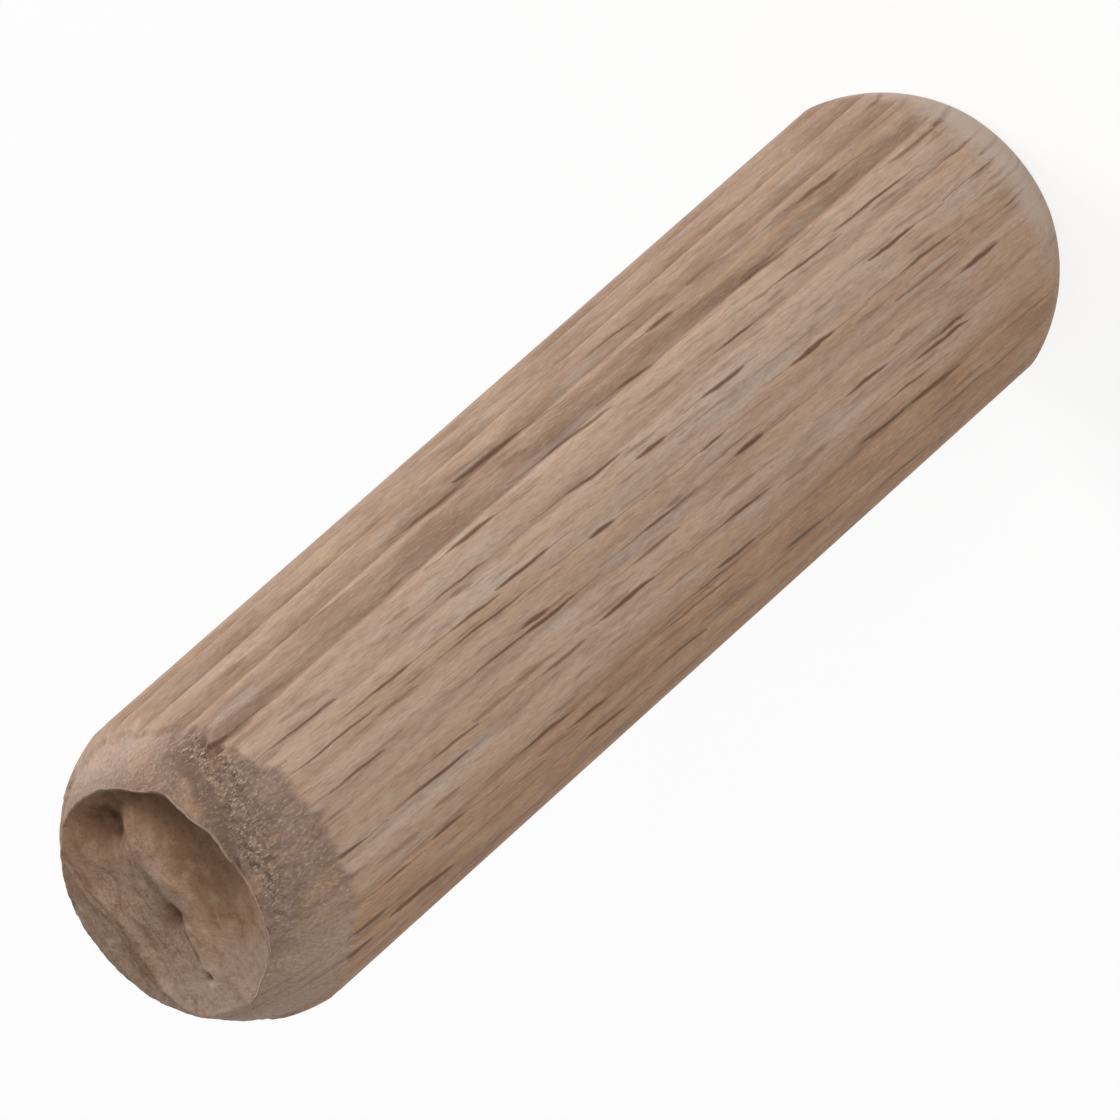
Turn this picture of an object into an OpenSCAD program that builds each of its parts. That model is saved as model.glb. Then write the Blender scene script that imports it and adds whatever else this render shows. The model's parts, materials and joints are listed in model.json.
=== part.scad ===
// Fluted beech dowel pin. It stands on its sound end, with its torn, hollowed end up.
// Lengths are in millimetres. +Z runs along the grain, and the origin is at the middle of the foot.

/* [Shank] */
// Diameter over the lands between the flutes
pin_d = 8; // [6.5:0.5:16]
// Length from the foot to the top of the torn end
pin_l = 30; // [16:1:80]

/* [Flutes] */
// Number of flutes around the shank
flute_count = 24; // [8:1:32]
// Width of one flute from land to land
flute_w = 0.95; // [0.5:0.05:1]
// Mean depth of a flute's valley below the lands
flute_depth = 0.13; // [0.06:0.01:0.2]
// Share by which the flutes are deeper on the side where the roller pressed hardest
press_share = 0.45; // [0:0.05:0.6]
// Angle of that side from the X axis
press_side = 5; // [-180:5:180]
// Height left between a flute's round shoulder and the land it runs into
flute_crease = 0.006; // [0.002:0.002:0.02]

/* [Foot end] */
// Height of the crowned edge above the foot
foot_crown_h = 1.9; // [1:0.1:2.5]
// Width of the crowned edge, from the lands in to the flat foot
foot_crown_w = 1.15; // [0.8:0.05:1.8]

/* [Torn end] */
// Height of the crowned edge below the top
top_crown_h = 2.35; // [1:0.05:2.5]
// Width of the crowned edge, from the lands in to the flat top
top_crown_w = 1.3; // [0.9:0.05:1.8]
// Radius of the ball that bounds the hollow
hollow_r = 3.1; // [2.9:0.05:3.4]
// Depth of that ball below the top
hollow_depth = 2.5; // [2:0.05:2.8]
// Distance of the hollow from the pin's axis, across the furrows
hollow_back = -0.35; // [-0.5:0.05:0.4]
// Distance of the hollow from the pin's axis, along the furrows
hollow_side = 0.2; // [-0.4:0.05:0.4]

/* [Furrows] */
// Angle of the growth rings, and of the furrows that follow them, from the X axis
ring_turn = -10.5; // [-45:0.5:45]
// Radius of the deep furrow behind the front lip
deep_r = 2.1; // [1.8:0.05:2.4]
// Depth of the deep furrow below the top, at the axis
deep_depth = 1.25; // [0.8:0.05:1.5]
// Distance of the deep furrow in front of the axis
deep_front = 2.1; // [1.8:0.05:2.4]
// Angle at which the deep furrow dips towards its deep corner
deep_tilt = 18; // [0:1:22]
// Angle of the deep furrow from the growth rings
deep_turn = 14; // [0:1:20]
// Radius of the shallow furrow behind it
shallow_r = 2.2; // [1.6:0.05:2.6]
// Depth of the shallow furrow below the top, at the axis
shallow_depth = 0.42; // [0.2:0.02:0.6]
// Distance of the shallow furrow behind the axis
shallow_back = 0.25; // [0:0.05:0.4]
// Angle at which the shallow furrow dips the same way
shallow_tilt = 1.5; // [0:0.5:8]
// Radius of the pit in the crest between the furrows
pit_r = 0.3; // [0.15:0.01:0.5]
// Depth of the pit below the top
pit_depth = 0.74; // [0.5:0.02:1]
// Distance of the pit from the axis, along the furrows
pit_side = -0.3; // [-1:0.05:1]
// Radius of the pocket at the low end of the shallow furrow
pocket_r = 0.65; // [0.4:0.05:0.8]
// Depth of the pocket below the top
pocket_depth = 1.1; // [0.8:0.05:1.3]
// Distance of the pocket from the axis, along the furrows
pocket_side = 2.2; // [1.5:0.05:2.4]
// Distance of the pocket behind the axis
pocket_back = 0.35; // [0:0.05:0.8]

/* [Hidden] */
$fn = 96;
beech = [0.67, 0.55, 0.46];
// Reach of every cut past the surface it starts from
overrun = 0.5;
land_r = pin_d / 2;
flute_pitch = 360 / flute_count;

// Depth of a flute that lies at an angle from the X axis
function pressed_depth(angle) = flute_depth * (1 + press_share * cos(angle - press_side));

// The shoulders of a flute are arcs that meet in its valley and run out just above the lands.
// Their rise is the depth of the valley below the place where they run out.
function shoulder_r(rise) = (pow(flute_w / 2, 2) + pow(rise, 2)) / (2 * rise);

// Height above an end at which the ball that crowns it is centred, on the pin's axis.
// The ball passes through the lands at height h and through the end's rim, w inside them.
function crown_centre(h, w) = ((pow(land_r, 2) - pow(land_r - w, 2)) / h + h) / 2;

// Half section of the corner that an end's crown takes off, with the end at y = 0
module crown_waste(h, w) {
    centre = crown_centre(h, w);
    difference() {
        translate([0, -overrun])
            square([land_r + overrun, centre + overrun]);
        translate([0, centre])
            circle(r = norm([land_r, centre - h]));
    }
}

// Turned blank: a plain rod with both ends crowned
module blank() {
    rotate_extrude()
        difference() {
            square([land_r, pin_l]);
            crown_waste(foot_crown_h, foot_crown_w);
            translate([0, pin_l])
                mirror([0, 1])
                    crown_waste(top_crown_h, top_crown_w);
        }
}

// Section of one flute, a valley between two round shoulders, with the pin's axis at the origin
module flute_section(depth) {
    r = shoulder_r(depth + flute_crease);
    difference() {
        translate([land_r - 2 * depth, -flute_w / 2])
            square([2 * depth + overrun, flute_w]);
        for (side = [-1, 1])
            translate([land_r + flute_crease - r, side * flute_w / 2])
                circle(r = r);
    }
}

// All flutes, pressed in along the whole length
module flutes() {
    for (i = [0 : flute_count - 1])
        rotate(i * flute_pitch)
            translate([0, 0, -overrun])
                linear_extrude(pin_l + 2 * overrun)
                    flute_section(pressed_depth(i * flute_pitch));
}

// Round furrow across the torn end, its floor at the given depth below the top.
// It dips by the tilt towards +X, and the turn takes that end forwards.
module furrow(r, depth, back, tilt, turn) {
    translate([0, back, pin_l - depth + r / cos(tilt)])
        rotate([0, 0, -turn])
            rotate([0, 90 + tilt, 0])
                cylinder(r = r, h = pin_d + 2 * overrun, center = true);
}

// Round hole in the torn end, its floor at the given depth below the top
module torn_hole(r, depth, side, back) {
    translate([side, back, pin_l - depth + r])
        sphere(r = r);
}

// Wood torn out of the top end: two furrows along the growth rings, bounded by a ball, a pit and a pocket
module torn_out() {
    rotate(ring_turn) {
        intersection() {
            torn_hole(hollow_r, hollow_depth, hollow_side, hollow_back);
            union() {
                furrow(deep_r, deep_depth, -deep_front, deep_tilt, deep_turn);
                furrow(shallow_r, shallow_depth, shallow_back, shallow_tilt, 0);
            }
        }
        torn_hole(pit_r, pit_depth, pit_side, 0);
        torn_hole(pocket_r, pocket_depth, pocket_side, pocket_back);
    }
}

module dowel_pin() {
    color(beech)
        difference() {
            blank();
            flutes();
            torn_out();
        }
}

dowel_pin();
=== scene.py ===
# %% [markdown]
# # A fluted beech dowel pin
#
# The pin is one short rod of beech. A maker turns the rod, presses two dozen glue flutes into it and
# rounds both ends. On this one the tool tore the wood at the upper end: it left a furrowed hollow there,
# and a crown of broken fibres around it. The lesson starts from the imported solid, which fixes where the
# pin stands and how large it is, and gives it the skin that a camera sees.

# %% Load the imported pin
import json
import math

import bpy
from mathutils import Matrix, Vector, noise


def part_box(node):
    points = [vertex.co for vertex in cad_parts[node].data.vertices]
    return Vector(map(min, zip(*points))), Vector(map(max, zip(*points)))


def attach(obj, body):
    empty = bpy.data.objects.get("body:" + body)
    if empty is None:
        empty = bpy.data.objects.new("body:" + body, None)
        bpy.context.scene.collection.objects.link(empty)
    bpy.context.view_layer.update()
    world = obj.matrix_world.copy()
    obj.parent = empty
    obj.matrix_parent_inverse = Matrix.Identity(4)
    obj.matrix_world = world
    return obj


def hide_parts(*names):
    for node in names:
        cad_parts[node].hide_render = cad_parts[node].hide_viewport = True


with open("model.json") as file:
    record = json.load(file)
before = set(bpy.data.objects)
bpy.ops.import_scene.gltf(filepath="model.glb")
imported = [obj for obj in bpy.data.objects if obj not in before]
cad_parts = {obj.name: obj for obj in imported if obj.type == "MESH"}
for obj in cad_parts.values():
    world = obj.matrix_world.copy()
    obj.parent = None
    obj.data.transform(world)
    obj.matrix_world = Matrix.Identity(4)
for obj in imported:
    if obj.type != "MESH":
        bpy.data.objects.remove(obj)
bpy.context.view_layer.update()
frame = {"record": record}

mm = 0.001
foot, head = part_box("dowel_pin")
pin_l = (head[2] - foot[2]) / mm
shank = next(mount for mount in frame["record"]["mounts"] if mount["name"] == "shank")
land_r = shank["dims"]["r_mm"]
print("pin", round(pin_l, 3), "mm long, radius over the lands", land_r, "mm")

# %% [markdown]
# ## The camera
#
# A long lens far away flattens perspective, and the outline of the rod tells how far: its far end is
# only a few hundredths narrower than its near end. The pin stands upright on its foot, so the lying pose
# of the picture comes from rolling the camera about its own line of sight and not from moving the pin.

# %% Look at the pin along the picture's line of sight
picture_side = 1120
look_azimuth, look_elevation, look_roll = (math.radians(angle) for angle in (0.0, 34.0, 131.686))
look_distance = 354.7 * mm
focal_pixels = 15434.8
middle_right, middle_up = 5.7, 8.25

to_camera = Vector((math.sin(look_azimuth) * math.cos(look_elevation),
                    -math.cos(look_azimuth) * math.cos(look_elevation),
                    math.sin(look_elevation)))
level = Vector((math.cos(look_azimuth), math.sin(look_azimuth), 0))
upright = to_camera.cross(level)
picture_right = level * math.cos(look_roll) - upright * math.sin(look_roll)
picture_up = level * math.sin(look_roll) + upright * math.cos(look_roll)

pixel = look_distance / focal_pixels
aim = Vector((0, 0, pin_l * mm / 2)) - (picture_right * middle_right + picture_up * middle_up) * pixel
lens = bpy.data.cameras.new("camera")
lens.sensor_width = 36
lens.lens = lens.sensor_width * focal_pixels / picture_side
lens.clip_start, lens.clip_end = 0.01, 20
camera = bpy.data.objects.new("camera", lens)
turn = Matrix((picture_right, picture_up, to_camera)).transposed().to_4x4()
camera.matrix_world = Matrix.Translation(aim + to_camera * look_distance) @ turn
bpy.context.collection.objects.link(camera)
bpy.context.scene.camera = camera
print("lens", round(lens.lens, 1), "mm at", round(look_distance, 4), "m")

# %% [markdown]
# ## The turned blank
#
# Both ends of the pin are crowned: a ball shape takes the corner off, so that the pin finds its hole.
# A lathe modifier could spin such a profile, but the torn end isn't round, so the rings are computed here
# one by one. Each crown is a ball through the lands and through the rim of the end.

# %% Ball of a crowned end
def crown_ball(height, width):
    """Distance of the ball's centre from the end, and the ball's radius."""
    rim = land_r - width
    centre = ((land_r ** 2 - rim ** 2) / height + height) / 2
    return centre, math.hypot(land_r, centre - height)


foot_crown_h, foot_crown_w = 1.9, 1.15
top_crown_h, top_crown_w = 2.35, 1.3
foot_centre, foot_ball = crown_ball(foot_crown_h, foot_crown_w)
top_centre, top_ball = crown_ball(top_crown_h, top_crown_w)
top_rim = land_r - top_crown_w
print("crown balls", round(foot_ball, 3), round(top_ball, 3), "mm")

# %% [markdown]
# ## The torn hollow
#
# Where the wood was pulled out, two furrows follow the growth rings across the end, and a shallow bowl
# bounds them. A crest with a pit in it stands between the furrows, and a pocket lies at the low end of the
# shallow one, which is a terrace. A sculptor would cut all this by hand. Here the hollow is a height for
# every point of the end, because then each ring of the mesh can follow its lip, however crooked that is.
# Painted shade darkens the deep places, so a second rule says how much of it lies at each point.

# %% Sizes of the hollow, in millimetres
ring_turn = math.radians(-10.5)
hollow_r, hollow_depth, hollow_back, hollow_side = 3.1, 2.5, -0.35, 0.2
deep_furrow = {"radius": 2.1, "depth": 1.25, "back": -2.1,
               "tilt": math.radians(18), "turn": math.radians(14)}
shallow_furrow = {"radius": 2.2, "depth": 0.42, "back": 0.25,
                  "tilt": math.radians(1.5), "turn": 0.0}
crest_wander, crest_round = 0.22, 0.4
crest_bow, bow_place, bow_half = 0.36, 1.15, 0.75
terrace_rise, rise_start, rise_run = 0.38, 1.0, 1.8
step_depth, step_half = 0.08, 0.09
# Place along and across the rings, half length, half width and depth of each dent
dents = {"pit": (-0.3, -0.05, 0.38, 0.34, 0.3),
         "gully beside the crest": (0.7, 0.02, 0.6, 0.16, 0.09),
         "crack": (-1.0, -0.12, 0.8, 0.07, 0.1),
         "hole where the crack ends": (-1.85, -0.2, 0.1, 0.08, 0.3),
         "pocket": (2.3, 0.4, 0.5, 0.6, 0.6),
         "saddle in the crest": (2.75, -0.5, 0.55, 0.42, 0.5)}
# Place along and across the rings of each bend of the lip, and how far it pushes the lip out
lip_bends = [(2.4, -2.3, 0.12), (0.65, -3.1, -0.02)]
lip_bend_half = 0.6
far_above = 9.0
print(len(dents), "dents in the hollow and", len(lip_bends), "bends in its lip")

# %% Rules for cuts and swells
def held(value):
    """The value, held between 0 and 1."""
    return min(max(value, 0), 1)


def hump(distance, half_width):
    """Share that is 1 in the middle and fades away on both sides."""
    return math.exp(-(distance / half_width) ** 2)


def wobble(x, y, fineness, layer):
    """Smooth random height between -1 and 1. Each layer has its own."""
    return noise.noise(Vector((x * fineness, y * fineness, layer)))


def ball_cut(radius, depth, distance):
    """Height, from the top of the pin, of a ball's underside at a distance from its middle."""
    inside = radius ** 2 - distance ** 2
    return radius - depth - math.sqrt(inside) if inside > 0 else far_above


def furrow_cut(along, across, radius, depth, back, tilt, turn):
    """Height of a round furrow that is turned from the rings and dips towards one end."""
    lengthwise = along * math.cos(turn) - (across - back) * math.sin(turn)
    sideways = along * math.sin(turn) + (across - back) * math.cos(turn)
    inside = radius ** 2 - sideways ** 2
    if inside <= 0:
        return far_above
    return (radius - math.sqrt(inside)) / math.cos(tilt) - depth - lengthwise * math.tan(tilt)


def softly_lower(a, b, round_off=0.06):
    """The lower of two heights, with the crest between them a little rounded."""
    near = max(round_off - abs(a - b), 0) / round_off
    return min(a, b) - near * near * round_off / 4


print("bowl of the hollow", round(-ball_cut(hollow_r, hollow_depth, 0), 2), "mm deep in its middle")

# %% Height of the hollow's floor
def ring_places(x, y):
    """Place along the rings, across them, and across them as crookedly as the furrows run."""
    along = x * math.cos(ring_turn) + y * math.sin(ring_turn)
    across = y * math.cos(ring_turn) - x * math.sin(ring_turn)
    return along, across, across + crest_wander * noise.noise(Vector((along * 0.9, 0.4, 3.1)))


def far_edge(along):
    """Place across the rings at which the shallow furrow runs out."""
    dip = max(shallow_furrow["depth"] + along * math.tan(shallow_furrow["tilt"]), 0.05)
    return shallow_furrow["back"] + math.sqrt(dip * (2 * shallow_furrow["radius"] - dip))


def hollow_height(x, y):
    """Height of the torn floor above the top of the pin, so it is negative inside the hollow."""
    along, across, crooked = ring_places(x, y)
    edge = 0.08 * wobble(x, y, 1.4, 7.7) + 0.02 * wobble(x, y, 5, 2.2)
    for side, back, push in lip_bends:
        edge -= push * hump(math.hypot(along - side, across - back), lip_bend_half)
    from_middle = math.hypot(along - hollow_side, across - hollow_back)
    bowl = ball_cut(hollow_r, hollow_depth, from_middle + edge)
    terrace = furrow_cut(along, crooked, **shallow_furrow)
    terrace += terrace_rise * held((-along - rise_start) / rise_run) ** 1.5
    bowed = crooked + crest_bow * hump(along - bow_place, bow_half)
    furrows = softly_lower(furrow_cut(along, bowed, **deep_furrow), terrace, crest_round)
    ragged = math.exp(0.3 * wobble(x, y, 5, 1.9))
    for side, back, length, width, depth in dents.values():
        furrows -= depth * ragged * hump(along - side, length) * hump(bowed - back, width)
    furrows -= step_depth * hump(crooked - far_edge(along), step_half)
    return -softly_lower(-bowl, -furrows)


print("floor at the axis", round(hollow_height(0, 0), 3), "mm, behind the front lip",
      round(hollow_height(0, -2), 3), "mm")

# %% Painted shade in the deep places
def painted_shade(x, y):
    """Share of painted shade: under the front lip, in the pit, in the pocket and at the far step."""
    along, across, crooked = ring_places(x, y)
    under_lip = held(-(across + 0.42 + 0.28 * (2 - along)) / 0.5) * held((along + 1.4) / 1.2)
    under_lip *= max(held((2.6 - along) / 1.6), 0.2)
    pit = hump(along + 0.25, 0.45) * hump(across - 0.05, 0.42)
    pocket = hump(along - 2.5, 0.5) * hump(across - 0.4, 0.8)
    step = hump(crooked - far_edge(along) - 0.03, 0.11) * held((1.6 - along) / 2)
    return held(0.16 * under_lip + 0.52 * pit + 0.65 * pocket + 0.75 * step)


print("painted_shade_share near the pit", round(painted_shade(-0.25, 0.05), 2), "and on the terrace", round(painted_shade(-1, 0.6), 2))

# %% [markdown]
# ## Rings of the skin
#
# The skin is a net of rings and columns. Columns crowd together at the flutes, where the surface turns
# most, and rings crowd together at the lip and below the torn shoulder. Each column finds its own lip: the
# first place, coming up the crown, at which the hollow's floor lies below the crowned end.

# %% Angles of the columns
flute_count = 24
first_flute = math.radians(-90)
flute_pitch = math.tau / flute_count
half_columns, column_crowding = 9, 1.2
column_angles = []
for flute in range(flute_count):
    for step in range(-half_columns, half_columns):
        aside = math.copysign((abs(step) / half_columns) ** column_crowding, step)
        column_angles.append(first_flute + flute * flute_pitch + aside * flute_pitch / 2)
columns = len(column_angles)
print(columns, "columns around", flute_count, "flutes")

# %% Lip of each column
shoulder_angle = math.atan2(top_centre - top_crown_h, land_r)
rim_angle = math.atan2(top_centre, top_rim)
crown_arc = top_ball * (rim_angle - shoulder_angle)


def crowned_end(reach):
    """Radius and height, below the top, at a distance up the crown and over the end from the shoulder."""
    if reach >= crown_arc:
        return max(top_rim - (reach - crown_arc), 0), 0.0
    angle = shoulder_angle + reach / top_ball
    return top_ball * math.cos(angle), top_ball * math.sin(angle) - top_centre


def lip_reach(angle):
    """Distance from the shoulder to the lip in one direction."""
    def opened(reach):
        r, z = crowned_end(reach)
        return hollow_height(r * math.cos(angle), r * math.sin(angle)) < z
    step = 0.02
    far = step
    while not opened(far):
        far += step
    near = far - step
    for _ in range(30):
        middle = (near + far) / 2
        near, far = (near, middle) if opened(middle) else (middle, far)
    return far


lips = [lip_reach(angle) for angle in column_angles]
print("lip", round(min(lips), 2), "to", round(max(lips), 2), "mm from the shoulder")

# %% Points from the foot to the middle of the hollow
foot_rings, foot_crown_rings, shank_rings, top_crown_rings, hollow_rings = 6, 18, 60, 62, 56
even_share, shank_crowding, lip_crowding, hollow_crowding = 0.14, 2.5, 1.5, 1.25
foot_rim = land_r - foot_crown_w
foot_start = math.atan2(-foot_centre, foot_rim)
foot_end = math.atan2(foot_crown_h - foot_centre, land_r)
shank_top = pin_l - top_crown_h
points, hollow_share, painted_shade_per_point = [(0, 0, 0)], [0.0], [0.0]


def add_ring(spots, share):
    """One ring of points, from radius and height in millimetres for each column."""
    for angle, (r, z) in zip(column_angles, spots):
        x, y = r * math.cos(angle), r * math.sin(angle)
        points.append((x * mm, y * mm, z * mm))
        hollow_share.append(share)
        painted_shade_per_point.append(painted_shade(x, y) if share > 0.5 else 0.0)


for ring in range(1, foot_rings):
    add_ring([(foot_rim * ring / foot_rings, 0)] * columns, 0)
for ring in range(foot_crown_rings):
    angle = foot_start + (foot_end - foot_start) * ring / foot_crown_rings
    add_ring([(foot_ball * math.cos(angle), foot_centre + foot_ball * math.sin(angle))] * columns, 0)
for ring in range(shank_rings):
    left = 1 - ring / shank_rings
    left = even_share * left + (1 - even_share) * left ** shank_crowding
    add_ring([(land_r, shank_top - (shank_top - foot_crown_h) * left)] * columns, 0)
for ring in range(top_crown_rings + 1):
    gathered = 1 - (1 - ring / top_crown_rings) ** lip_crowding
    spots = [crowned_end(lip * gathered) for lip in lips]
    add_ring([(r, pin_l + z) for r, z in spots], 0.5 if ring == top_crown_rings else 0)
lip_radii = [crowned_end(lip)[0] for lip in lips]
for ring in range(1, hollow_rings):
    spots = []
    for angle, lip_r in zip(column_angles, lip_radii):
        r = lip_r * (1 - (ring / hollow_rings) ** hollow_crowding)
        spots.append((r, pin_l + hollow_height(r * math.cos(angle), r * math.sin(angle))))
    add_ring(spots, min(0.5 + 0.2 * ring, 1))
points.append((0, 0, (pin_l + hollow_height(0, 0)) * mm))
hollow_share.append(1.0)
painted_shade_per_point.append(painted_shade(0, 0))
rings = (len(points) - 2) // columns
print(rings, "rings and", len(points), "points")

# %% Skin over the points
faces = []
for column in range(columns):
    after = (column + 1) % columns
    faces.append((0, 1 + after, 1 + column))
    for ring in range(rings - 1):
        start = 1 + ring * columns
        faces.append((start + column, start + after, start + columns + after, start + columns + column))
    last = 1 + (rings - 1) * columns
    faces.append((last + column, last + after, len(points) - 1))
skin = bpy.data.meshes.new("pin_skin")
skin.from_pydata(points, [], faces)
skin.attributes.new("hollow", "FLOAT", "POINT").data.foreach_set("value", hollow_share)
skin.attributes.new("painted_shade", "FLOAT", "POINT").data.foreach_set("value", painted_shade_per_point)
skin.polygons.foreach_set("use_smooth", [True] * len(skin.polygons))
pin = bpy.data.objects.new("dowel_pin_skin", skin)
bpy.context.collection.objects.link(pin)
print("blank of", sum(len(face) - 2 for face in faces), "triangles")

# %% [markdown]
# ## A way to lay out nodes
#
# Every later step builds a node tree, for a shape or for a finish. A tree can be wired by hand in the node
# editor, but then it can't be read as text. Here each output of a node becomes a wire, and a sum written
# with wires adds the Math nodes for it, so that a rule reads as it does on paper.

# %% Wires between nodes
class Wire:
    """Output of a node. A sum written with it adds a Math node to its tree."""
    def __init__(self, tree, socket):
        self.tree, self.socket = tree, socket

    def __add__(self, other):
        return calc("ADD", self, other)

    def __sub__(self, other):
        return calc("SUBTRACT", self, other)

    def __rsub__(self, other):
        return calc("SUBTRACT", other, self)

    def __mul__(self, other):
        return calc("MULTIPLY", self, other)

    def __truediv__(self, other):
        return calc("DIVIDE", self, other)

    def __rtruediv__(self, other):
        return calc("DIVIDE", other, self)

    def __pow__(self, other):
        return calc("POWER", self, other)

    def __abs__(self):
        return calc("ABSOLUTE", self)


def put_all(tree, kind, inputs=None, **settings):
    """Adds a node and gives its outputs by name. An input is a constant or a wire."""
    node = tree.nodes.new(kind)
    for name, value in settings.items():
        setattr(node, name, value)
    for socket, value in (inputs or {}).items():
        if isinstance(value, Wire):
            tree.links.new(value.socket, node.inputs[socket])
        else:
            node.inputs[socket].default_value = value
    return node.outputs


def put(tree, kind, inputs=None, out=0, **settings):
    """Adds a node and gives one of its outputs as a wire."""
    return Wire(tree, put_all(tree, kind, inputs, **settings)[out])


def calc(operation, *values):
    """One Math node, in the tree of the wires that run into it."""
    tree = next(value.tree for value in values if isinstance(value, Wire))
    return put(tree, "ShaderNodeMath", dict(enumerate(values)), operation=operation)


def ramp(value, start, end, low=0.0, high=1.0):
    """Wire that goes smoothly from low to high while the value goes from start to end."""
    inputs = {0: value, 1: start, 2: end, 3: low, 4: high}
    return put(value.tree, "ShaderNodeMapRange", inputs, interpolation_type="SMOOTHSTEP")


def parts(vector):
    """X, Y and Z of a vector, as three wires."""
    return [Wire(vector.tree, out) for out in put_all(vector.tree, "ShaderNodeSeparateXYZ", {0: vector})]


def scaled(vector, amount):
    """Vector made longer or shorter by an amount."""
    return put(vector.tree, "ShaderNodeVectorMath", {0: vector, "Scale": amount}, operation="SCALE")


def stretched(spot, grains):
    """Place, counted in grains of the given size along X, Y and Z."""
    per_unit = tuple(1 / grain for grain in grains)
    return put(spot.tree, "ShaderNodeVectorMath", {0: spot, 1: per_unit}, operation="MULTIPLY")


print("wires ready")

# %% Trees that shape a piece
socket_kinds = {int: "NodeSocketInt", float: "NodeSocketFloat", bpy.types.Material: "NodeSocketMaterial"}


def shape_tree(name, sizes):
    """Geometry Nodes tree with a mesh going in and out, and one named input for each size."""
    tree = bpy.data.node_groups.new(name, "GeometryNodeTree")
    tree.is_modifier = True
    tree.interface.new_socket("Mesh", in_out="INPUT", socket_type="NodeSocketGeometry")
    tree.interface.new_socket("Mesh", in_out="OUTPUT", socket_type="NodeSocketGeometry")
    for size, value in sizes.items():
        tree.interface.new_socket(size, in_out="INPUT", socket_type=socket_kinds[type(value)])
    return tree, {out.name: Wire(tree, out) for out in put_all(tree, "NodeGroupInput")}


def kept(mesh, name, share):
    """Mesh with a share kept on its points under a name."""
    return put(mesh.tree, "GeometryNodeStoreNamedAttribute", {"Geometry": mesh, "Name": name, "Value": share},
               data_type="FLOAT", domain="POINT")


def recalled(tree, name):
    """Share that was kept on the points of a mesh under a name."""
    return put(tree, "GeometryNodeInputNamedAttribute", {"Name": name}, data_type="FLOAT")


def close_tree(tree, mesh, finish):
    """Ends a tree: instances become real, and the finish is laid on."""
    real = put(tree, "GeometryNodeRealizeInstances", {0: mesh})
    coated = put(tree, "GeometryNodeSetMaterial", {"Geometry": real, "Material": finish})
    put_all(tree, "NodeGroupOutput", {0: coated})


def settle(piece, tree, sizes):
    """Runs a tree on a piece and keeps the result as its plain mesh."""
    modifier = piece.modifiers.new(tree.name, "NODES")
    modifier.node_group = tree
    for item in tree.interface.items_tree:
        if item.in_out == "INPUT" and item.name in sizes:
            modifier[item.identifier] = sizes[item.name]
    made = bpy.data.meshes.new_from_object(piece.evaluated_get(bpy.context.evaluated_depsgraph_get()))
    piece.modifiers.remove(modifier)
    piece.data = made
    print(tree.name, "left", len(made.vertices), "points and", len(made.polygons), "faces")


beech = bpy.data.materials.new("beech")
print("finish", beech.name, "named")

# %% [markdown]
# ## The flutes
#
# A ribbed roller presses the flutes in, so each is a narrow valley between two round shoulders and no wood
# is cut. A boolean of two dozen bars would do it, at the price of a rough mesh. The tree here does what the
# roller does: it pushes every point that stands above the flute's section in towards the axis. The roller
# pressed harder on one side, so the flutes are deeper there.

# %% Press the flutes with a rule
flute_sizes = {"Flutes": flute_count, "Land radius": land_r * mm, "First flute": first_flute,
               "Flute width": 0.95 * mm, "Flute depth": 0.13 * mm, "Crease": 0.006 * mm,
               "Press share": 0.45, "Deep side": math.radians(5), "Unevenness": 0.15, "Seed": 7,
               "Finish": beech}
tree, size = shape_tree("press_flutes", flute_sizes)
x, y, z = parts(put(tree, "GeometryNodeInputPosition"))
spoke = calc("SQRT", x * x + y * y)
bearing = calc("ARCTAN2", y, x) - size["First flute"]
pitch = math.tau / size["Flutes"]
from_valley = calc("PINGPONG", bearing, pitch * 0.5)
flute_number = calc("FLOORED_MODULO", calc("ROUND", bearing / pitch), size["Flutes"])

chance = put(tree, "FunctionNodeRandomValue", {"ID": flute_number, "Seed": size["Seed"]}, out=1,
             data_type="FLOAT")
wear = put(tree, "ShaderNodeTexNoise", {"W": z * 250.0 + flute_number * 9.7, "Detail": 1.0},
           noise_dimensions="1D")
from_deep_side = flute_number * pitch + (size["First flute"] - size["Deep side"])
press = size["Press share"] * calc("COSINE", from_deep_side) + (chance + wear - 1.0) * size["Unevenness"]
full_depth = size["Crease"] + size["Flute depth"] * calc("MAXIMUM", press + 1.0, 0.1)

half_width = size["Flute width"] * 0.5
shoulder = (half_width * half_width + full_depth * full_depth) / (full_depth * 2.0)
sideways = spoke * calc("SINE", from_valley)
short_of_land = calc("MAXIMUM", half_width - sideways, 0.0)
arc = calc("SQRT", shoulder * shoulder - short_of_land * short_of_land)
pressed = size["Land radius"] + size["Crease"] - shoulder + arc
new_spoke = calc("MINIMUM", spoke, calc("SQRT", pressed * pressed + sideways * sideways))
shrink = new_spoke / calc("MAXIMUM", spoke, 1e-6)
marked = kept(size["Mesh"], "valley", (spoke - new_spoke) / full_depth)
moved = put(tree, "ShaderNodeCombineXYZ", {0: x * shrink, 1: y * shrink, 2: z})
fluted = put(tree, "GeometryNodeSetPosition", {"Geometry": marked, "Position": moved})
close_tree(tree, fluted, size["Finish"])
settle(pin, tree, flute_sizes)

# %% [markdown]
# ## The torn crown
#
# The rounding tool broke fibres off the crown, so it is crumbly, and a little lower than the pressed lands.
# A bump map would fake that from straight ahead but leave a clean outline. So the tree moves the points
# themselves, along their normals: lumps first, then crumbs below a groove on the front, and ridges
# along the rings inside the hollow. The finish darkens the groove with painted shade.

# %% Edge of the tear, groove and crumbs
def grain_noise(spot, grains, detail, seed):
    """Noise about zero, with grains of the given size along X, Y and Z in millimetres."""
    spread = stretched(spot, [grain * mm for grain in grains])
    return put(spot.tree, "ShaderNodeTexNoise", {"Vector": spread, "W": seed, "Scale": 1.0, "Detail": detail},
               noise_dimensions="4D") - 0.5


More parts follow.
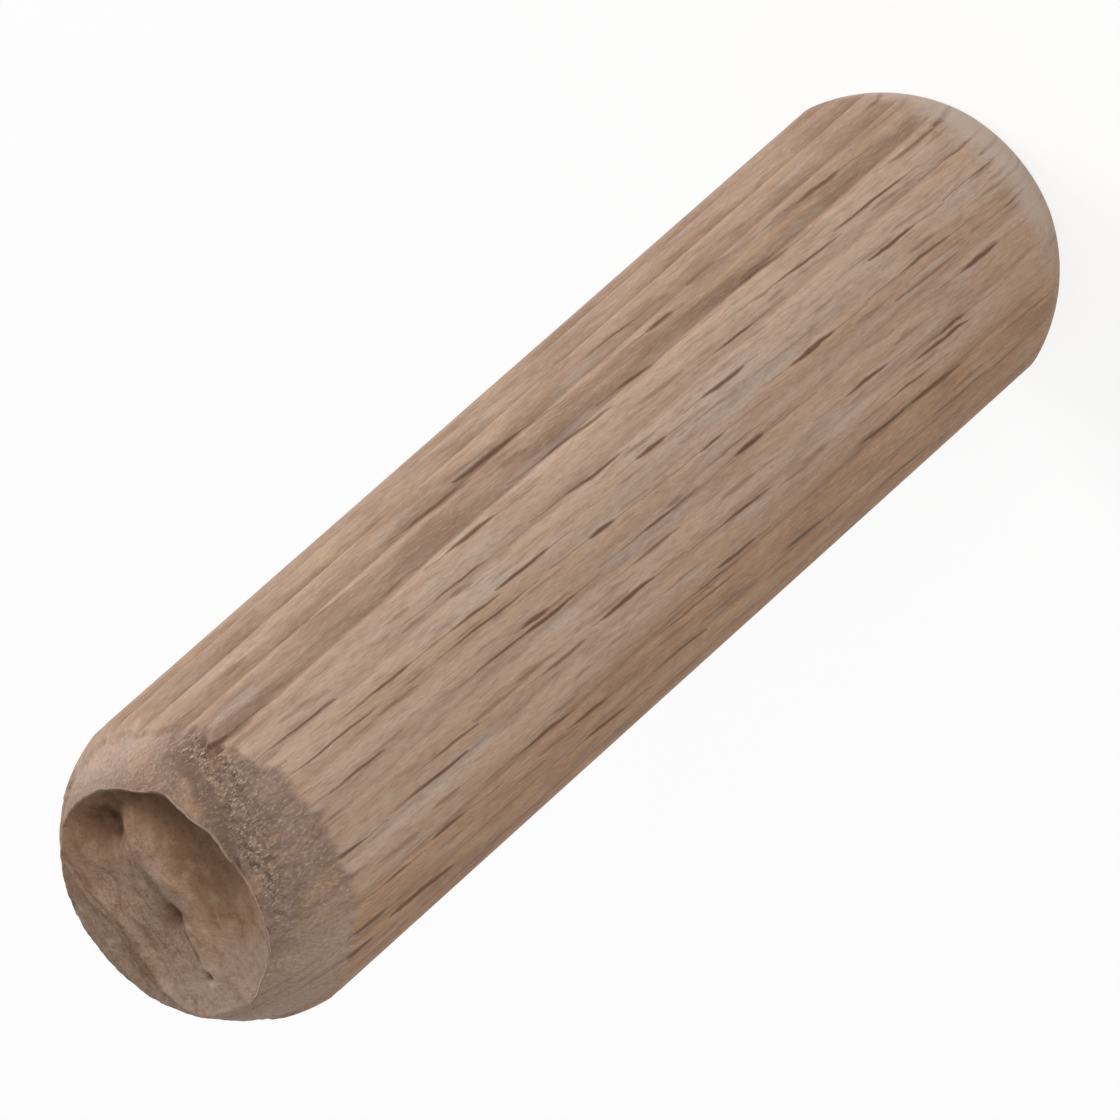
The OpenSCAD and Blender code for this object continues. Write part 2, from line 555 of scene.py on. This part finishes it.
tear_sizes = {"Tear height": (pin_l - 1.7) * mm, "Tear slant": 0.95 * mm, "Low side": math.radians(-104),
              "Wander": 0.4 * mm, "Step": 0.09 * mm, "Lump": 0.1 * mm, "Crumb": 0.12 * mm,
              "Crumb sink": 0.06 * mm, "Crumb height": (pin_l - 0.8) * mm, "Crumb slant": 1.5 * mm,
              "Crumbled side": math.radians(-90), "Ridge": 0.09 * mm, "Seed": 3, "Finish": beech}
tree, size = shape_tree("tear_end", tear_sizes)
here = put(tree, "GeometryNodeInputPosition")
x, y, z = parts(here)
bearing = calc("ARCTAN2", y, x)
hollow = recalled(tree, "hollow")

edge = size["Tear height"] - size["Tear slant"] * calc("COSINE", bearing - size["Low side"])
edge = edge + grain_noise(here, (1.0, 1.0, 2.5), 1.0, size["Seed"]) * 2.0 * size["Wander"]
edge = edge + grain_noise(here, (0.25, 0.25, 0.9), 2.0, size["Seed"]) * 1.6 * size["Wander"]
torn = ramp(z - edge, -0.06 * mm, 0.18 * mm) * (1.0 - hollow)

aside = bearing - size["Crumbled side"]
groove = size["Crumb height"] - size["Crumb slant"] * calc("SINE", aside)
ragged = grain_noise(here, (0.5, 0.5, 0.7), 2.0, size["Seed"] + 5.0)
below_groove = groove - z + ragged * (0.5 * mm)
crumbled_side = torn * ramp(calc("COSINE", aside - math.radians(4)), 0.72, 0.88)
in_groove = ramp(below_groove, -0.6 * mm, -0.25 * mm) * ramp(below_groove, 0.1 * mm, -0.05 * mm)
in_groove = in_groove * crumbled_side
crumbs = ramp(below_groove, 0.0, 0.12 * mm) * ramp(below_groove, 0.4 * mm, 1.25 * mm, 1.0, 0.15)
crumbs = crumbs * crumbled_side * ramp(z, (pin_l - 0.65) * mm, (pin_l - 0.85) * mm)
print("tear about", tear_sizes["Tear height"] / mm, "mm up the pin")

# %% Lumps, crumbs and ridges
normal = put(tree, "GeometryNodeInputNormal")
across_grain = abs(parts(normal)[2])
lump = grain_noise(here, (0.5, 0.5, 0.8), 1.0, size["Seed"]) * size["Lump"]
crumb_spot = stretched(here, (0.14 * mm, 0.14 * mm, 0.2 * mm))
cells = put_all(tree, "ShaderNodeTexVoronoi", {"Vector": crumb_spot, "Scale": 1.0})
cell_height = put(tree, "FunctionNodeSeparateColor", {0: Wire(tree, cells["Color"])})
crumb = (cell_height - Wire(tree, cells["Distance"]) * 0.9) * size["Crumb"]
crumb = crumb * (crumbs * 0.85 + torn * 0.15 + hollow * 0.12)
ringwise = put(tree, "ShaderNodeVectorRotate", {"Vector": here, "Angle": -ring_turn}, rotation_type="Z_AXIS")
ridge = grain_noise(ringwise, (0.9, 0.2, 0.4), 3.0, size["Seed"]) * size["Ridge"]
sunk = size["Crumb sink"] * calc("MAXIMUM", crumbs, in_groove) + size["Step"]
rise = (lump - sunk) * torn + crumb + (lump * 0.5 + ridge) * hollow

marked = size["Mesh"]
shares = {"torn": torn, "crumbs": crumbs, "groove": in_groove, "across_grain": across_grain}
for name, share in shares.items():
    marked = kept(marked, name, share)
rough = put(tree, "GeometryNodeSetPosition", {"Geometry": marked, "Offset": scaled(normal, rise)})
close_tree(tree, rough, size["Finish"])
settle(pin, tree, tear_sizes)

# %% [markdown]
# ## Broken fibres
#
# Short ends of fibre stand out of the crumbly patches. A hair system could grow them, but hair doesn't
# survive an export. Tiny four-sided spikes on scattered points do, and the mark that the last tree left on
# the crumbs says where they grow.

# %% Scatter the broken fibres
fibre_beech = bpy.data.materials.new("broken_fibre")
fibre_sizes = {"Fibres per square metre": 5.0e7, "Fibre length": 0.1 * mm, "Fibre width": 0.026 * mm,
               "Lean": 0.22, "Seed": 11, "Finish": fibre_beech}
tree, size = shape_tree("broken_fibres", fibre_sizes)
density = ramp(recalled(tree, "crumbs"), 0.3, 0.8) * size["Fibres per square metre"]
scatter = put_all(tree, "GeometryNodeDistributePointsOnFaces",
                  {"Mesh": size["Mesh"], "Density": density, "Seed": size["Seed"]},
                  distribute_method="RANDOM")
normal = Wire(tree, scatter["Normal"])
out_of_skin = scaled(normal, 0.15 - parts(normal)[2])
grainwise = put(tree, "ShaderNodeVectorMath", {0: out_of_skin, 1: (0.0, 0.0, 1.0)}, operation="ADD")
swing = put(tree, "FunctionNodeRandomValue",
            {0: (-1.0, -1.0, -1.0), 1: (1.0, 1.0, 1.0), "Seed": size["Seed"]}, data_type="FLOAT_VECTOR")
heading = put(tree, "ShaderNodeVectorMath", {0: grainwise, 1: scaled(swing, size["Lean"])}, operation="ADD")
pointing = put(tree, "FunctionNodeAlignRotationToVector", {"Vector": heading}, axis="Z")
reach = put(tree, "FunctionNodeRandomValue", {2: 0.4, 3: 1.3, "Seed": size["Seed"]}, out=1, data_type="FLOAT")
spike = put(tree, "GeometryNodeMeshCone",
            {"Vertices": 4, "Radius Top": 0.25, "Radius Bottom": 1.0, "Depth": 1.0}, fill_type="NGON")
spike_size = put(tree, "ShaderNodeCombineXYZ",
                 {0: size["Fibre width"], 1: size["Fibre width"], 2: size["Fibre length"] * reach})
fibres = put(tree, "GeometryNodeInstanceOnPoints",
             {"Points": Wire(tree, scatter["Points"]), "Instance": spike, "Rotation": pointing,
              "Scale": spike_size})
close_tree(tree, fibres, size["Finish"])
fuzz = bpy.data.objects.new("torn_fibres", pin.data)
bpy.context.collection.objects.link(fuzz)
settle(fuzz, tree, fibre_sizes)

# %% [markdown]
# ## The grain of beech
#
# Beech is read from its colour bands and its rays. The bands run along the pin, grey-beige next to tan, and
# the rays are thin upright plates that a face cut along the rings shows as dark spindles. They fade where
# the skin runs square to the rings. An unwrapped picture of wood would break at its seam. Here the finish
# is a block of wood in Object coordinates, and the skin shows the cut that it makes through that block, on
# the flutes and in the hollow alike.

# %% Block of wood, in millimetres and turned to the rings
def ink(red, green, blue):
    """Colour for a socket from the 0 to 255 values that a painter picks."""
    light = [c / 255 / 12.92 if c <= 10 else ((c / 255 + 0.055) / 1.055) ** 2.4 for c in (red, green, blue)]
    return (*light, 1.0)


def tinted(under, share, over):
    """Colour under, with the colour over laid on it where the share is 1."""
    return put(share.tree, "ShaderNodeMix", {0: share, 6: under, 7: over}, out=2, data_type="RGBA")


def wood_noise(spot, grains, detail=2.0, rough=0.5):
    """Noise from 0 to 1 with grains of the given size along the rings, across them and along the pin."""
    return put(spot.tree, "ShaderNodeTexNoise", {"Vector": stretched(spot, grains), "Scale": 1.0,
                                                 "Detail": detail, "Roughness": rough})


beech.use_nodes = True
wood = beech.node_tree
wood.nodes.clear()
block = put(wood, "ShaderNodeMapping", {"Vector": put(wood, "ShaderNodeTexCoord", out="Object"),
                                        "Scale": (1 / mm, 1 / mm, 1 / mm),
                                        "Rotation": (0.0, 0.0, -ring_turn)})
along_rings, across_rings, up_pin = parts(block)
grain_slope = 0.05
block = put(wood, "ShaderNodeCombineXYZ", {0: along_rings - up_pin * grain_slope, 1: across_rings, 2: up_pin})
marks = {name: put(wood, "ShaderNodeAttribute", out="Fac", attribute_name=name)
         for name in ("torn", "hollow", "painted_shade", "valley", "crumbs", "groove", "across_grain")}
print("block of wood turned", round(math.degrees(ring_turn)), "degrees")

# %% Colour bands
def band(place, start, end, soft):
    """Share that is 1 between two places and fades over a soft edge."""
    return ramp(place, start - soft, start + soft) * ramp(place, end + soft, end - soft)


grey_beige, tan, warm_tan = ink(189, 163, 143), ink(181, 153, 132), ink(178, 144, 114)
brown, deep_brown = ink(152, 122, 101), ink(140, 112, 94)
# Start and end of each band along the rings, width of its soft edge, strength and colour
bands = [(0.4, 2.25, 0.2, 0.7, grey_beige), (2.55, 3.7, 0.15, 0.55, brown),
         (2.5, 3.05, 0.12, 0.5, deep_brown), (0.02, 0.26, 0.12, 0.5, brown)]
drift = wood_noise(block, (0.8, 0.8, 9.0))
place = along_rings + (drift * 0.5 - 0.25)
colour = tinted(tan, ramp(wood_noise(block, (0.5, 0.6, 8.0), 3.0), 0.4, 0.62), ink(170, 141, 120))
for start, end, soft, strength, tint in bands:
    colour = tinted(colour, band(place, start, end, soft) * strength, tint)
colour = tinted(colour, ramp(along_rings, 3.65, 3.95, 0.0, 0.65), ink(148, 119, 98))
colour = tinted(colour, ramp(place, -1.6, -2.6, 0.0, 0.75), ink(162, 123, 91))
print(len(bands), "bands from grey-beige to brown")

# %% Patches, streaks and fine fibres
warmth = wood_noise(block, (0.5, 0.6, 5.0), 3.0)
colour = tinted(colour, ramp(warmth, 0.5, 0.68, 0.0, 0.55), warm_tan)
greyness = wood_noise(block, (0.35, 0.4, 3.5), 3.0)
off_right_edge = ramp(along_rings, -2.6, -1.2)
colour = tinted(colour, ramp(greyness, 0.54, 0.7, 0.0, 0.4) * off_right_edge, ink(186, 170, 158))
patch = wood_noise(block, (0.6, 0.5, 2.0))
on_side = ramp(abs(along_rings), 1.6, 2.8)
colour = tinted(colour, ramp(patch, 0.5, 0.68, 0.0, 0.4) * on_side, ink(126, 97, 76))
colour = tinted(colour, ramp(patch, 0.5, 0.34, 0.0, 0.3) * on_side, ink(190, 162, 138))

cut_lengthwise = 1.0 - marks["across_grain"] * 0.8
waver = put(wood, "ShaderNodeTexNoise", {"Vector": block, "Scale": 0.9, "Detail": 2.0}, out="Color")
waver = put(wood, "ShaderNodeVectorMath", {0: waver, 1: (0.12, 0.12, 0.0), 2: block},
            operation="MULTIPLY_ADD")
streak = wood_noise(waver, (0.12, 0.12, 1.0), 3.0)
fibre = wood_noise(waver, (0.045, 0.045, 0.3), 2.0, 0.6)
colour = tinted(colour, ramp(streak, 0.48, 0.72, 0.0, 0.46) * cut_lengthwise, ink(138, 110, 92))
colour = tinted(colour, ramp(fibre, 0.5, 0.72, 0.0, 0.26) * cut_lengthwise, ink(134, 104, 84))
colour = tinted(colour, ramp(fibre, 0.5, 0.3, 0.0, 0.18) * cut_lengthwise, ink(206, 187, 170))
print("patches, streaks and fibres laid over the bands")

# %% Rays as dark spindles
def spindles(block, ragged, cell, half_length, half_width, share, shift):
    """Share of dark wood: one lens in each cell, of random length, width and depth of colour."""
    across, _, up = parts(block)
    flat = put(wood, "ShaderNodeCombineXYZ", {0: across * (1 / cell[0]) + shift[0],
                                              1: up * (1 / cell[1]) + shift[1]})
    cells = put_all(wood, "ShaderNodeTexVoronoi", {"Vector": flat, "Scale": 1.0, "Randomness": 1.0},
                    voronoi_dimensions="2D")
    middle = Wire(wood, cells["Position"])
    away = put(wood, "ShaderNodeVectorMath", {0: flat, 1: middle}, operation="SUBTRACT")
    sideways, lengthwise, _ = parts(away)
    chances = put_all(wood, "ShaderNodeSeparateColor", {0: Wire(wood, cells["Color"])})
    long, wide, dark = (Wire(wood, chance) for chance in chances)
    tip, belly = half_length / cell[1], half_width / cell[0]
    lengthwise = lengthwise / (long * tip + 0.5 * tip)
    bulge = calc("MAXIMUM", 1.0 - lengthwise * lengthwise, 0.0)
    room = bulge ** 0.7 * (wide * belly + 0.5 * belly) * (ragged + 0.5)
    inside = room - abs(sideways)
    return ramp(inside, -0.8 * belly, 0.8 * belly) * ramp(dark, 1 - share, 1.35 - share)


# Width and length of a cell, half length and half width of a ray, share of cells with one, shift of the cells
ray_sizes = {"broad": ((0.68, 2.7), 0.9, 0.038, 0.88, (0.3, 0.6)),
             "slim": ((0.45, 1.9), 0.6, 0.04, 0.6, (0.7, 0.2)),
             "hair": ((0.19, 1.2), 0.3, 0.015, 0.7, (0.1, 0.8))}
ragged = wood_noise(block, (0.06, 0.06, 0.4))
on_ring_face = ramp(abs(along_rings), 3.75, 3.3)
rays = {kind: spindles(waver, ragged, *sizes) * on_ring_face for kind, sizes in ray_sizes.items()}
colour = tinted(colour, rays["hair"] * 0.2, ink(122, 93, 75))
colour = tinted(colour, rays["slim"] * 0.5, ink(112, 82, 63))
print(len(rays), "sizes of ray")

# %% [markdown]
# ## Torn and pressed wood
#
# Pressed valleys are darker than the lands, most of all on the right of the picture. The rounded edge of the
# foot is rubbed pale.
# The torn crown has gone grey, with darker gaps between its crumbs and painted shade in the groove above
# them. In the hollow, and on the cut foot, the block shows its end grain: faint rings, blotches, and pores
# as fine dots. Painted shade darkens the deep places, the part under the left lip and the back of the lip,
# and painted light brightens the floor that faces the big lamp and the front of the lip. A painter would
# brush these on. Here the marks that the shape trees left on the skin say where each belongs.

# %% Valleys and rubbed edge of the foot
# The valleys are darker than the lands, more so towards the right of the picture.
valley_darkening = ramp(along_rings, -1.2, -2.2, 0.12, 0.4)
colour = tinted(colour, ramp(marks["valley"], 0.5, 1.0) * valley_darkening, ink(124, 93, 72))
rubbed_height = wood_noise(block, (0.4, 0.4, 1.5)) * 0.9 + up_pin
rubbed = ramp(rubbed_height, 2.4, 1.3) * ramp(along_rings, -2.2, 0.0, 0.2, 1.0)
colour = tinted(colour, rubbed * 0.6, ink(194, 178, 165))
broad_rays = rays["broad"] * (1.0 - rubbed * 0.75)
print("valleys and edge of the foot tinted")

# %% Grey torn crown
mottle = wood_noise(block, (0.2, 0.2, 1.1), 3.0)
specks = wood_noise(block, (0.06, 0.06, 0.14), 2.0, 0.6)
dark_specks, pale_specks = marks["crumbs"] * 0.15 + 0.36, marks["crumbs"] * 0.45 + 0.3
crown = tinted(ink(142, 117, 102), ramp(mottle, 0.36, 0.64), ink(119, 96, 82))
crown = tinted(crown, ramp(place, 1.6, 2.6, 0.0, 0.65), ink(136, 110, 92))
crown = tinted(crown, ramp(warmth, 0.52, 0.66, 0.0, 0.5), ink(172, 138, 108))
crown = tinted(crown, ramp(along_rings, -1.6, -2.6, 0.0, 0.7), ink(174, 148, 130))
crown = tinted(crown, ramp(along_rings, 2.9, 3.5, 0.0, 0.5), ink(190, 166, 152))
# Painted shade in the groove above the crumbs.
crown = tinted(crown, marks["groove"] * 0.9, ink(98, 74, 60))
crown = tinted(crown, ramp(specks, 0.5, 0.68) * dark_specks, ink(98, 74, 58))
crown = tinted(crown, ramp(specks, 0.46, 0.32) * pale_specks, ink(198, 178, 160))
colour = tinted(colour, marks["torn"] * 0.85, crown)
colour = tinted(colour, broad_rays * (0.97 - marks["torn"] * 0.65), ink(105, 75, 57))
print("crown tinted")

# %% End grain of the hollow and the foot, with painted light and shade
ringlet = wood_noise(block, (1.4, 0.22, 3.0), 3.0)
blotch = wood_noise(block, (0.4, 0.28, 0.4), 3.0, 0.6)
lit_floor = ramp(along_rings, 0.3, -0.8) * ramp(across_rings, -0.1, -0.6)
shaded_left = ramp(along_rings, 0.4, 2.0, 0.0, 0.4) * ramp(across_rings, -1.1, -0.4)
end_grain_and_painted_light = tinted(ink(178, 148, 126), ramp(ringlet, 0.36, 0.66), ink(160, 129, 106))
end_grain_and_painted_light = tinted(end_grain_and_painted_light, ramp(warmth, 0.5, 0.65, 0.0, 0.6), ink(158, 124, 95))
end_grain_and_painted_light = tinted(end_grain_and_painted_light, ramp(specks, 0.5, 0.7, 0.0, 0.4), ink(104, 78, 61))
end_grain_and_painted_light = tinted(end_grain_and_painted_light, ramp(specks, 0.46, 0.32, 0.0, 0.3), ink(190, 168, 150))
# Painted shade: the floor is darker and warmer the deeper it lies below the top of the pin.
end_grain_and_painted_light = tinted(end_grain_and_painted_light, ramp(up_pin, pin_l - 0.4, pin_l - 0.9, 0.0, 0.6), ink(152, 112, 80))
# Painted light: the right part of the deep furrow, which faces the big lamp, is paler and warmer.
end_grain_and_painted_light = tinted(end_grain_and_painted_light, lit_floor * 0.35, ink(184, 150, 122))
end_grain_and_painted_light = tinted(end_grain_and_painted_light, ramp(along_rings, -1.0, -2.0, 0.0, 0.6), ink(172, 148, 134))
end_grain_and_painted_light = tinted(end_grain_and_painted_light, ramp(blotch, 0.52, 0.7, 0.0, 0.5), ink(124, 92, 70))
end_grain_and_painted_light = tinted(end_grain_and_painted_light, ramp(blotch, 0.48, 0.3, 0.0, 0.45), ink(192, 166, 146))
# Painted shade: the left part of the hollow, in the shadow of its left lip, is darker.
end_grain_and_painted_light = tinted(end_grain_and_painted_light, shaded_left, ink(136, 100, 74))
# Painted shade under the front lip, in the pit, in the pocket and along the far step.
end_grain_and_painted_light = tinted(end_grain_and_painted_light, marks["painted_shade"] * 0.8, ink(102, 65, 43))
cut_face = ramp(marks["across_grain"], 0.8, 0.97)
colour = tinted(colour, calc("MAXIMUM", marks["hollow"], cut_face * 0.8), end_grain_and_painted_light)

# Painted light on the lip: a pale highlight along its front and a dark line of painted shade along its back.
lip = ramp(marks["hollow"], 0.2, 0.45) * ramp(marks["hollow"], 0.85, 0.65)
lip_highlight_and_shade = tinted(ink(190, 167, 149), ramp(across_rings, -0.6, 0.6), ink(104, 76, 58))
colour = tinted(colour, lip * ramp(along_rings, -1.9, -0.7, 0.0, 0.3), lip_highlight_and_shade)
print("end grain and lip tinted")

# %% Relief and shine of the wood
relief = (fibre * 0.6 - broad_rays * 0.5) * cut_lengthwise
rough_share = calc("MAXIMUM", marks["crumbs"] * 0.6 + marks["torn"] * 0.5, marks["hollow"] * 0.8)
relief = relief - specks * rough_share
bump = put(wood, "ShaderNodeBump", {"Strength": 0.7, "Distance": 0.035 * mm, "Height": relief})
shine = put(wood, "ShaderNodeBsdfPrincipled",
            {"Base Color": colour, "Roughness": ramp(fibre, 0.3, 0.7, 0.62, 0.8), "Normal": bump,
             "Specular IOR Level": 0.3})
put_all(wood, "ShaderNodeOutputMaterial", {"Surface": shine})
print(len(wood.nodes), "nodes in the finish of the wood")

# %% Finish of the broken fibres
fibre_beech.use_nodes = True
fuzzy = fibre_beech.node_tree
fuzzy.nodes.clear()
spot = put(fuzzy, "ShaderNodeTexCoord", out="Object")
pale = put(fuzzy, "ShaderNodeTexNoise", {"Vector": spot, "Scale": 4000.0, "Detail": 1.0})
colour = tinted(ink(146, 118, 99), ramp(pale, 0.35, 0.65), ink(188, 163, 144))
shine = put(fuzzy, "ShaderNodeBsdfPrincipled",
            {"Base Color": colour, "Roughness": 0.8, "Specular IOR Level": 0.2})
put_all(fuzzy, "ShaderNodeOutputMaterial", {"Surface": shine})
print(len(fuzzy.nodes), "nodes in the finish of the fibres")

# %% [markdown]
# ## Floor and light
#
# The pin stands on a plain white floor, which fills the picture because the camera looks down. To the
# camera the floor is mostly plain white, and the part that is left takes the pin's soft shadow. It lies a
# hair below the foot, because two faces in one plane would flicker. One large lamp to the left of the
# picture draws the flutes, a weaker one beside the camera opens the shadows, and the sky, brighter at the
# horizon than overhead, fills the rest and leaves the hollow dim.

# %% White floor
half_floor, floor_gap = 1.5, 0.02 * mm
corners = [(-half_floor, -half_floor, 0), (half_floor, -half_floor, 0),
           (half_floor, half_floor, 0), (-half_floor, half_floor, 0)]
floor_skin = bpy.data.meshes.new("floor")
floor_skin.from_pydata(corners, [], [(0, 1, 2, 3)])
floor = bpy.data.objects.new("floor", floor_skin)
floor.location.z = -floor_gap
bpy.context.collection.objects.link(floor)
paper = bpy.data.materials.new("white_paper")
paper.use_nodes = True
sheet = paper.node_tree
sheet.nodes.clear()
seen = {out.name: Wire(sheet, out) for out in put_all(sheet, "ShaderNodeLightPath")}
straight = calc("MAXIMUM", calc("MAXIMUM", seen["Is Camera Ray"], seen["Is Glossy Ray"]),
                seen["Is Transmission Ray"])
dull = put(sheet, "ShaderNodeBsdfDiffuse", {"Color": (0.85, 0.85, 0.85, 1.0)})
shaded = put(sheet, "ShaderNodeBsdfDiffuse", {"Color": (0.3, 0.3, 0.3, 1.0)})
white = put(sheet, "ShaderNodeEmission", {"Color": (1.0, 1.0, 1.0, 1.0), "Strength": 0.8})
bright = put(sheet, "ShaderNodeAddShader", {0: shaded, 1: white})
surface = put(sheet, "ShaderNodeMixShader", {0: straight, 1: dull, 2: bright})
put_all(sheet, "ShaderNodeOutputMaterial", {"Surface": surface})
floor_skin.materials.append(paper)
print("floor", 2 * half_floor, "m wide")

# %% Sky
scene = bpy.context.scene
scene.view_settings.view_transform = "Standard"
sky = bpy.data.worlds.new("sky")
sky.use_nodes = True
horizon_light, overhead_light = 1.17, 0.2
background = sky.node_tree.nodes["Background"]
background.inputs["Color"].default_value = (1.0, 1.0, 1.0, 1.0)
upwards = parts(put(sky.node_tree, "ShaderNodeTexCoord", out="Generated"))[2]
strength = ramp(upwards, 0.0, 0.9, horizon_light, overhead_light)
sky.node_tree.links.new(strength.socket, background.inputs["Strength"])
scene.world = sky
print("sky from", horizon_light, "at the horizon to", overhead_light, "overhead")

# %% Lamps
def lamp(name, direction, distance, side, watts):
    """Square lamp that faces the pin from a direction."""
    glow = bpy.data.lights.new(name, "AREA")
    glow.shape, glow.size, glow.energy = "SQUARE", side, watts
    holder = bpy.data.objects.new(name, glow)
    holder.location = Vector((0, 0, pin_l * mm / 2)) + direction.normalized() * distance
    holder.rotation_mode = "QUATERNION"
    holder.rotation_quaternion = direction.to_track_quat("Z", "Y")
    bpy.context.collection.objects.link(holder)
    print(name, "at", [round(c, 3) for c in holder.location])


def around(turned, raised):
    """Direction turned from the camera's side to the left of the picture, and raised above the floor."""
    bearing = look_azimuth - math.pi / 2 + math.radians(turned)
    raised = math.radians(raised)
    return Vector((math.cos(bearing) * math.cos(raised),
                   math.sin(bearing) * math.cos(raised),
                   math.sin(raised)))


lamp("key", around(turned=102, raised=10), distance=0.5, side=0.22, watts=1.6)
lamp("fill", around(turned=8, raised=12), distance=0.5, side=0.24, watts=0.69)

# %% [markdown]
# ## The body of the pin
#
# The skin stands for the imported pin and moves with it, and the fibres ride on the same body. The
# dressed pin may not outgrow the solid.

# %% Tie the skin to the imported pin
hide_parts("dowel_pin")
for piece in (pin, fuzz):
    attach(piece, "root")
